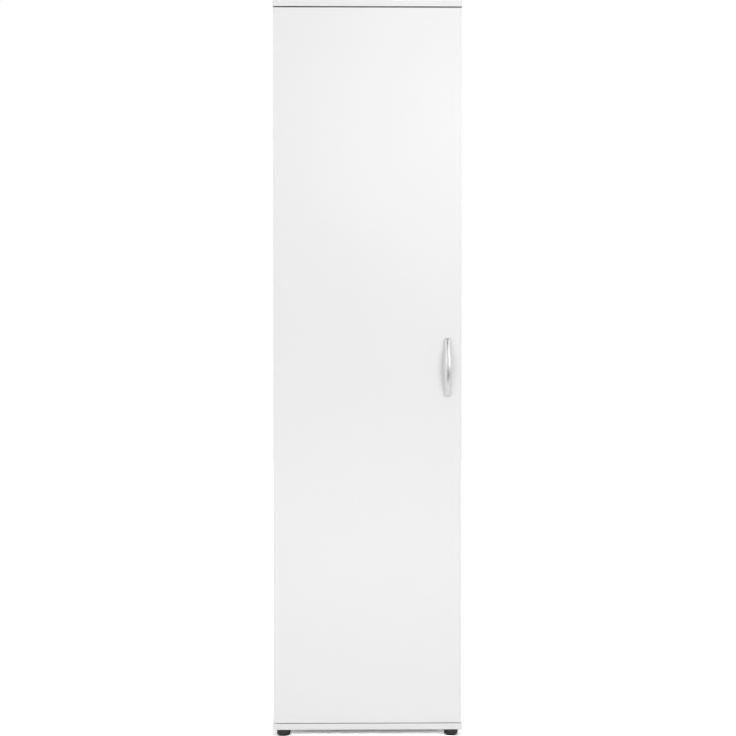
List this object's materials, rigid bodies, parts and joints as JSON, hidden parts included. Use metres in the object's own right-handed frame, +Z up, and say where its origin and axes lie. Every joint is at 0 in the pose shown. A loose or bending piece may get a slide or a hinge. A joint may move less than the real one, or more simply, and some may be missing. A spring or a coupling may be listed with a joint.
{
  "type": "broom cupboard",
  "caption": "Tall narrow white cupboard with a full-height hinged door, bow handle, low round feet, a fixed hat shelf, a broom bay and narrow adjustable shelves.",
  "frame": {"origin": "centre of the bounding box on the floor, handle included", "axes": "+Z up, the door faces -Y, its hinges are on the -X side"},
  "size_m": [0.5, 0.427, 1.95],
  "materials": {
    "white_board": "white melamine face, fine pearl texture",
    "back_board": "thin hardboard, white inside",
    "white_plastic": "matte",
    "foot_plastic": "matte black",
    "felt": "felt",
    "handle_metal": "satin silver",
    "bracket_steel": "zinc plated",
    "hinge_steel": "nickel plated"
  },
  "bodies": {
    "carcass": {"back_panel": "back_board", "bottom_panel": "white_board", "centre_divider": "white_board", "door_bumpers": "felt", "feet": "foot_plastic", "hat_shelf": "white_board", "hinge_arms": "hinge_steel", "joint_blocks": "white_plastic", "left_side_panel": "white_board", "left_wall_bracket": "bracket_steel", "mounting_plate_1": "hinge_steel", "mounting_plate_2": "hinge_steel", "mounting_plate_3": "hinge_steel", "narrow_shelf_1": "white_board", "narrow_shelf_2": "white_board", "narrow_shelf_3": "white_board", "narrow_shelf_4": "white_board", "right_side_panel": "white_board", "right_wall_bracket": "bracket_steel", "shelf_supports": "white_plastic", "top_panel": "white_board"},
    "outer_links": {"outer_links": "hinge_steel"},
    "door": {"door_panel": "white_board", "bow_handle": "handle_metal", "hinge_cups": "hinge_steel"},
    "inner_links": {"inner_links": "hinge_steel"}
  },
  "joints": [
    {"name": "outer_link_swing", "type": "hinge", "parent": "carcass", "child": "outer_links", "pos_m": [-0.2188, -0.163, 0.9845], "axis": [0, 0, 1], "range_deg": [0, 37.2]},
    {"name": "door_swing", "type": "hinge", "parent": "outer_links", "child": "door", "pos_m": [-0.2385, -0.1731, 0.9845], "axis": [0, 0, -1], "range_deg": [0, 137]},
    {"name": "inner_link_swing", "type": "hinge", "parent": "carcass", "child": "inner_links", "pos_m": [-0.2175, -0.1775, 0.9845], "axis": [0, 0, 1], "range_deg": [0, 16.8]}
  ],
  "couplings": [
    {"joint": "outer_link_swing", "follows": "door_swing", "ratio": 0.27007},
    {"joint": "inner_link_swing", "follows": "door_swing", "ratio": 0.12117}
  ]
}
